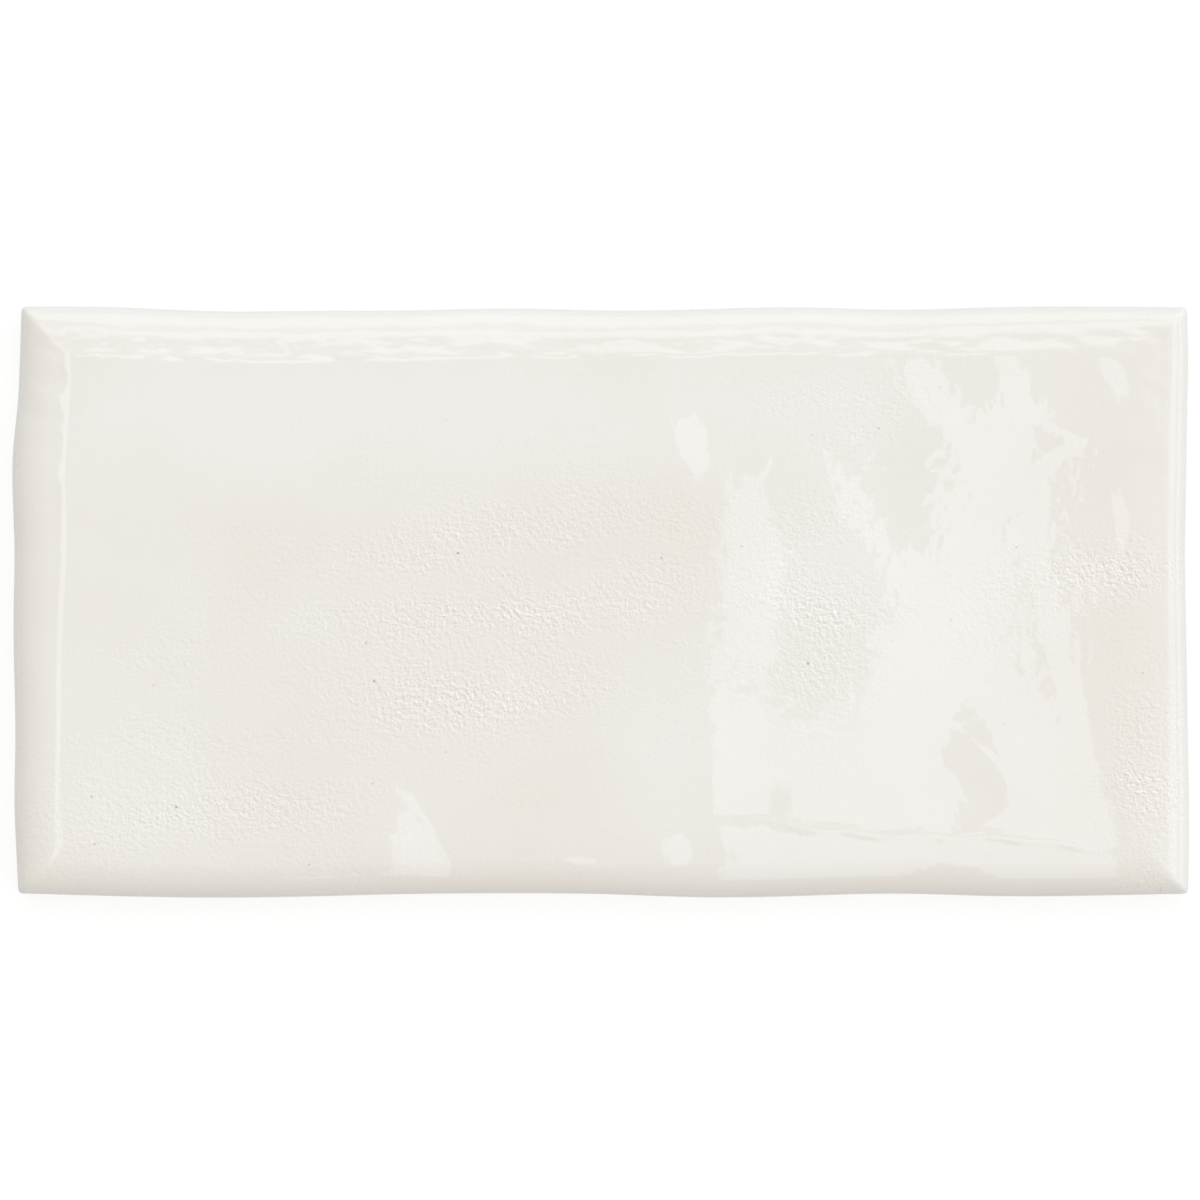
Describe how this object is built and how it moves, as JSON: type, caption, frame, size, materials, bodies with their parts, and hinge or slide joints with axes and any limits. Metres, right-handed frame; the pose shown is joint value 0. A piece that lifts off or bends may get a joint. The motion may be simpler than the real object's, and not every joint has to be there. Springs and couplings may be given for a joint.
{
  "type": "glazed ceramic wall tile",
  "caption": "Rectangular glossy off-white ceramic wall tile with wavy hand-cut edges, a soft rounded rim, an uneven glazed face and a keyed flat back for bonding to a wall.",
  "frame": {"origin": "middle of the back, on the flat lands that the tile lies on", "axes": "+X along the tile's length, +Y across its width towards the upper edge of the picture, +Z out of the glazed face"},
  "size_m": [0.15, 0.0754, 0.0081],
  "materials": {
    "glaze": "glossy"
  },
  "bodies": {
    "root": {"tile": "glaze"}
  },
  "joints": []
}
